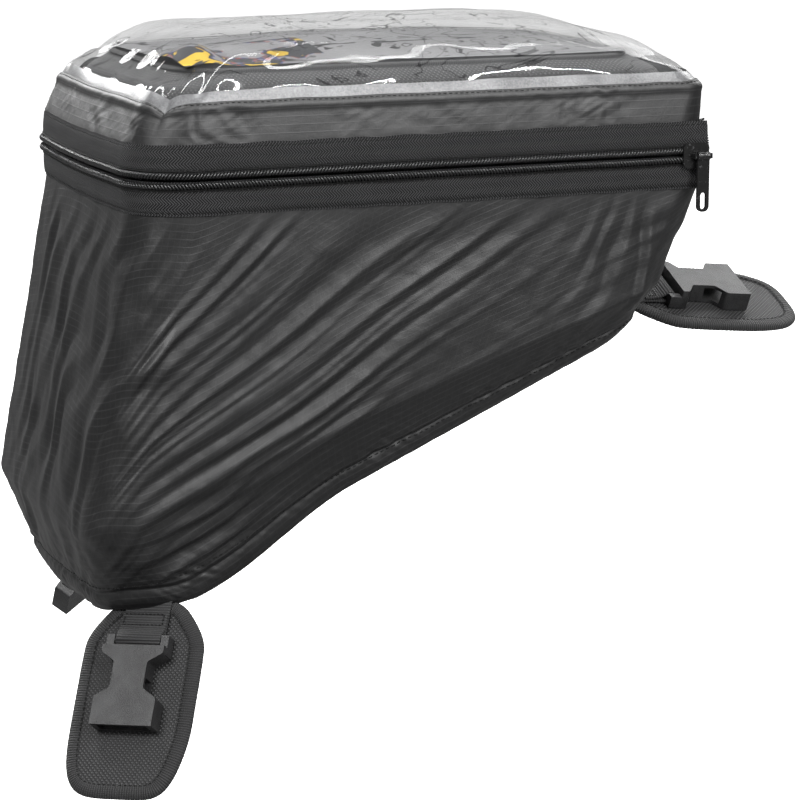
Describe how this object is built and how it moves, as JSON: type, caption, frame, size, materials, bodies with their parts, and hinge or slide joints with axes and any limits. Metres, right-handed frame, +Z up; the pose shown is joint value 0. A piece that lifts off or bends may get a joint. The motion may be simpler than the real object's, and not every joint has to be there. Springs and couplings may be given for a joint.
{
  "type": "motorcycle tank bag",
  "caption": "Sloped-base motorcycle tank bag under a zipped rain cover with a clear map window, padded wings and release buckles.",
  "frame": {"origin": "centre of the grip pad's underside, where the bag rests on the tank", "axes": "+X to the front of the motorcycle, +Z up with the bag's top level; the base slopes up to the front by 24 degrees"},
  "size_m": [0.4741, 0.2743, 0.3848],
  "materials": {
    "black_ripstop": "glossy coated ripstop",
    "zip_tape": "matt herringbone weave",
    "zip_teeth": "satin nylon coil",
    "zip_metal": "black enamel",
    "clear_vinyl": "glossy clear film",
    "vinyl_border": "frosted welded strip",
    "ballistic_fabric": "matt ballistic weave",
    "foam": "closed-cell foam",
    "binding": "ribbed tape",
    "webbing": "ribbed webbing",
    "grip_rubber": "dimpled anti-slip",
    "base_panel": "stiffener in fabric",
    "buckle_plastic": "satin black",
    "paper": "printed paper",
    "map_film": "clear film",
    "elastic": "gathered hem"
  },
  "bodies": {
    "root": {"bag_shell": "ballistic_fabric", "foam_floor": "foam", "foam_rear": "foam", "foam_front": "foam", "foam_side_right": "foam", "foam_side_left": "foam", "bag_zip_chain_lower": "zip_teeth", "grip_pad": "grip_rubber", "base_panel": "base_panel", "base_binding": "binding", "cover_hem_elastic": "elastic", "cover_skirt": "black_ripstop", "cover_zip_tape_lower": "zip_tape", "cover_zip_coil_lower": "zip_teeth", "strap_tab_front": "webbing", "strap_tab_rear_right": "webbing", "strap_tab_rear_left": "webbing"},
    "cover_lid": {"cover_band": "black_ripstop", "cover_window": "clear_vinyl", "window_border": "vinyl_border", "cover_zip_tape_upper": "zip_tape", "cover_zip_coil_upper": "zip_teeth"},
    "bag_lid": {"bag_lid_panel": "ballistic_fabric", "map_pocket_binding": "binding", "map_sheet": "paper", "map_pocket_film": "map_film", "bag_zip_chain_upper": "zip_teeth"},
    "cover_slider": {"cover_zip_slider": "zip_metal"},
    "cover_pull": {"cover_zip_pull": "zip_metal"},
    "bag_slider": {"bag_zip_slider": "zip_metal"},
    "wing_front": {"wing_pad_front": "ballistic_fabric", "wing_binding_front": "binding"},
    "strap_front": {"webbing_front": "webbing"},
    "buckle_front": {"buckle_front": "buckle_plastic"},
    "wing_rear_right": {"wing_pad_rear_right": "ballistic_fabric", "wing_binding_rear_right": "binding"},
    "strap_rear_right": {"webbing_rear_right": "webbing"},
    "buckle_rear_right": {"buckle_rear_right": "buckle_plastic"},
    "strap_rear_left": {"webbing_rear_left": "webbing"},
    "buckle_rear_left": {"buckle_rear_left": "buckle_plastic"}
  },
  "joints": [
    {"name": "bag_lid_open", "type": "hinge", "parent": "root", "child": "bag_lid", "pos_m": [0.162, 0, 0.174], "axis": [0, 1, 0], "range_deg": [0, 95]},
    {"name": "cover_lid_open", "type": "hinge", "parent": "root", "child": "cover_lid", "pos_m": [0.173, 0, 0.161], "axis": [0, 1, 0], "range_deg": [0, 95]},
    {"name": "cover_zip_slide", "type": "slide", "parent": "root", "child": "cover_slider", "axis": [-1, 0, 0], "range_m": [0, 0.25]},
    {"name": "cover_pull_swing", "type": "hinge", "parent": "cover_slider", "child": "cover_pull", "pos_m": [0.1645, -0.1096, 0.161], "axis": [1, 0, 0], "range_deg": [-120, 3]},
    {"name": "bag_zip_slide", "type": "slide", "parent": "root", "child": "bag_slider", "axis": [-1, 0, 0], "range_m": [0, 0.22]},
    {"name": "wing_front_fold", "type": "hinge", "parent": "root", "child": "wing_front", "pos_m": [0.171, 0, 0.0695], "axis": [0.0359, 0.9332, 0.3576], "range_deg": [-20, 60]},
    {"name": "strap_front_lift", "type": "hinge", "parent": "wing_front", "child": "strap_front", "pos_m": [0.171, 0, 0.0695], "axis": [0.0359, 0.9332, 0.3576], "range_deg": [-40, 0]},
    {"name": "buckle_front_turn", "type": "hinge", "parent": "strap_front", "child": "buckle_front", "pos_m": [0.19531, -0.00165, 0.07137], "axis": [0.0359, 0.9332, 0.3576], "range_deg": [-25, 0]},
    {"name": "wing_rear_right_fold", "type": "hinge", "parent": "root", "child": "wing_rear_right", "pos_m": [-0.1353, -0.078, -0.0605], "axis": [0.7612, -0.6449, 0.0684], "range_deg": [-18, 10]},
    {"name": "strap_rear_right_lift", "type": "hinge", "parent": "wing_rear_right", "child": "strap_rear_right", "pos_m": [-0.1353, -0.078, -0.0605], "axis": [0.7612, -0.6449, 0.0684], "range_deg": [-8, 0]},
    {"name": "buckle_rear_right_turn", "type": "hinge", "parent": "strap_rear_right", "child": "buckle_rear_right", "pos_m": [-0.14581, -0.0922, -0.07739], "axis": [0.7612, -0.6449, 0.0684], "range_deg": [-25, 0]},
    {"name": "strap_rear_left_lift", "type": "hinge", "parent": "root", "child": "strap_rear_left", "pos_m": [-0.118, 0.072, -0.052], "axis": [-0.8004, -0.4997, -0.3311], "range_deg": [-40, 10]},
    {"name": "buckle_rear_left_turn", "type": "hinge", "parent": "strap_rear_left", "child": "buckle_rear_left", "pos_m": [-0.12076, 0.08833, -0.06997], "axis": [-0.8004, -0.4997, -0.3311], "range_deg": [-18, 10]}
  ],
  "couplings": [
    {"joint": "cover_lid_open", "follows": "bag_lid_open", "ratio": 1}
  ]
}
